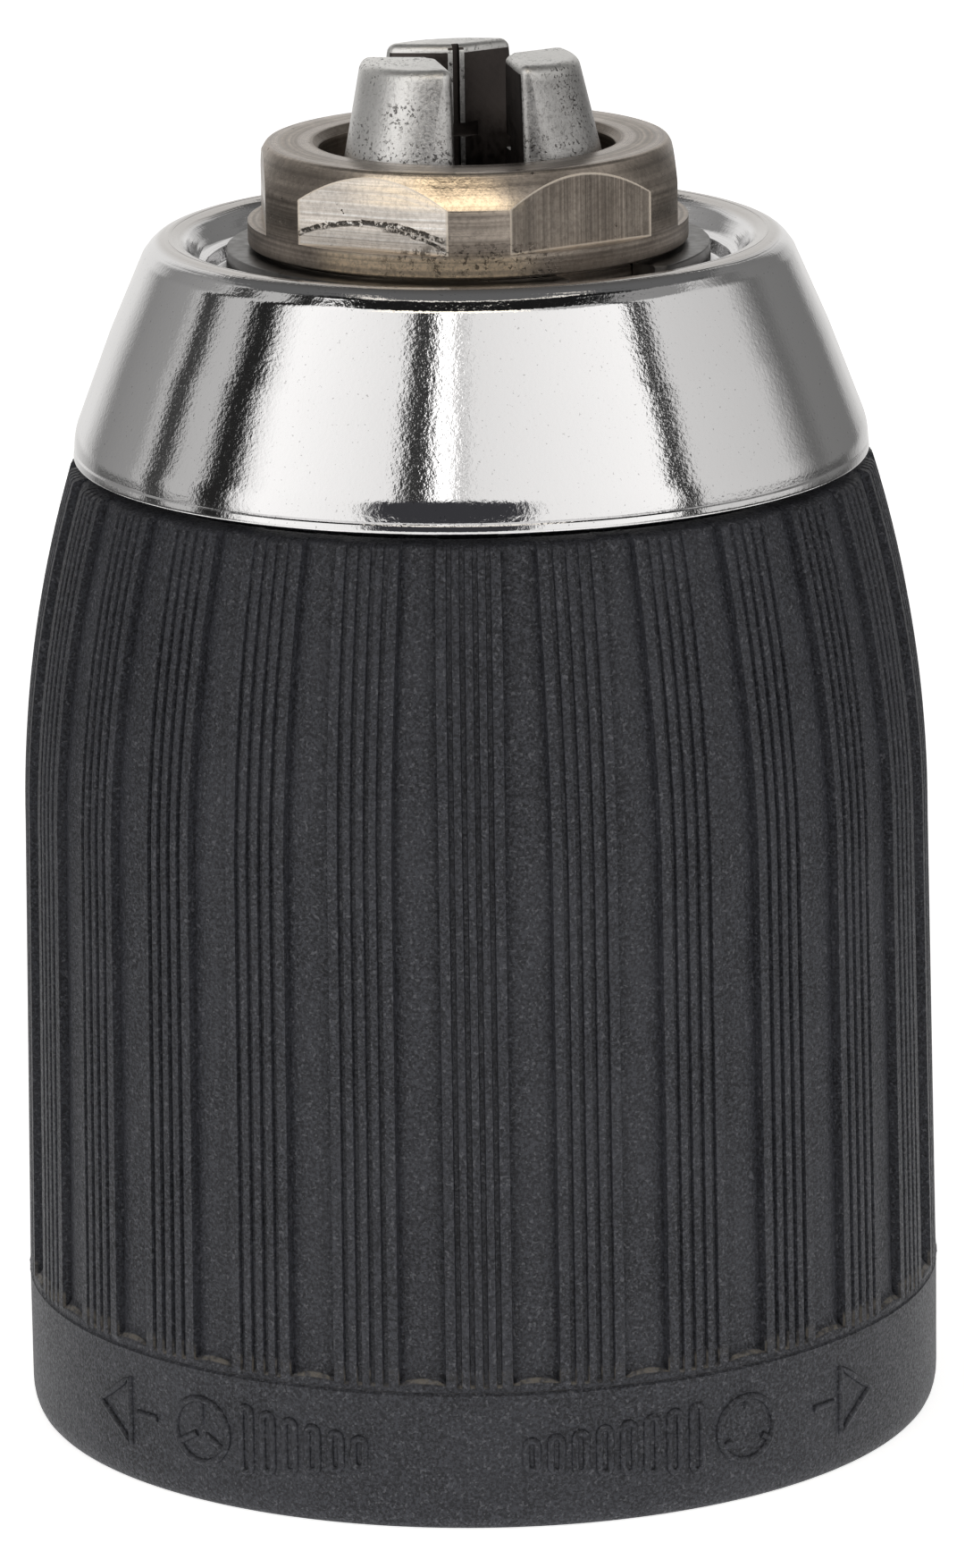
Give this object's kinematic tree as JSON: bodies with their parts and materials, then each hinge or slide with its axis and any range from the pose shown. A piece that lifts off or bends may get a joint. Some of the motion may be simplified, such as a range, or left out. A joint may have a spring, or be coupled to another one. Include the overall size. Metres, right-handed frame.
{
  "type": "keyless drill chuck",
  "caption": "Keyless drill chuck: a ribbed sleeve turns a split conical nut that slides inclined jaws in and out of a steel body's nose.",
  "frame": {"origin": "centre of the rear face, which is also the bottom centre of the bounding box", "axes": "+Z along the chuck axis towards the jaws' tips; -Y is the side with the wide view of the band's marks"},
  "size_m": [0.0426, 0.0426, 0.0634],
  "materials": {
    "gunmetal": "turned, dark bronze-grey oxide",
    "jaw_steel": "blasted grey steel",
    "spring_steel": "blued",
    "chrome": "polished chrome plate",
    "charcoal_plastic": "spark-eroded matt",
    "nut_steel": "hardened",
    "bearing_steel": "ground",
    "cage_brass": "stamped",
    "zinc_plate": "zinc plated",
    "black_plate": "moulded black"
  },
  "bodies": {
    "chuck_body": {"chuck_body": "gunmetal", "snap_ring": "spring_steel", "rear_race_washer": "bearing_steel", "rear_cover": "black_plate"},
    "sleeve_drive": {"grip_sleeve": "charcoal_plastic", "nose_ring": "chrome", "drive_insert": "zinc_plate", "nut_half_a": "nut_steel", "nut_half_b": "nut_steel", "nut_band": "zinc_plate", "front_race_washer": "bearing_steel"},
    "ball_race": {"ball_cage": "cage_brass", "ball_01": "bearing_steel", "ball_02": "bearing_steel", "ball_03": "bearing_steel", "ball_04": "bearing_steel", "ball_05": "bearing_steel", "ball_06": "bearing_steel", "ball_07": "bearing_steel", "ball_08": "bearing_steel", "ball_09": "bearing_steel", "ball_10": "bearing_steel", "ball_11": "bearing_steel", "ball_12": "bearing_steel", "ball_13": "bearing_steel", "ball_14": "bearing_steel", "ball_15": "bearing_steel", "ball_16": "bearing_steel", "ball_17": "bearing_steel", "ball_18": "bearing_steel"},
    "jaw_1": {"jaw_1": "jaw_steel"},
    "jaw_2": {"jaw_2": "jaw_steel"},
    "jaw_3": {"jaw_3": "jaw_steel"}
  },
  "joints": [
    {"name": "sleeve_turn", "type": "hinge", "parent": "chuck_body", "child": "sleeve_drive", "pos_m": [0, 0, 0.033], "axis": [0, 0, 1], "range_deg": [-619, 2804]},
    {"name": "ball_race_turn", "type": "hinge", "parent": "chuck_body", "child": "ball_race", "pos_m": [0, 0, 0.02625], "axis": [0, 0, 1], "range_deg": [-310, 1403]},
    {"name": "jaw_1_slide", "type": "slide", "parent": "chuck_body", "child": "jaw_1", "axis": [0.1784, 0.1634, 0.9703], "range_m": [-0.01948, 0.00431]},
    {"name": "jaw_2_slide", "type": "slide", "parent": "chuck_body", "child": "jaw_2", "axis": [-0.2307, 0.0727, 0.9703], "range_m": [-0.01948, 0.00431]},
    {"name": "jaw_3_slide", "type": "slide", "parent": "chuck_body", "child": "jaw_3", "axis": [0.0524, -0.2362, 0.9703], "range_m": [-0.01948, 0.00431]}
  ],
  "couplings": [
    {"joint": "ball_race_turn", "follows": "sleeve_turn", "ratio": 0.5},
    {"joint": "jaw_1_slide", "follows": "sleeve_turn", "m_per_rad": -0.00039789},
    {"joint": "jaw_2_slide", "follows": "sleeve_turn", "m_per_rad": -0.00039789},
    {"joint": "jaw_3_slide", "follows": "sleeve_turn", "m_per_rad": -0.00039789}
  ]
}
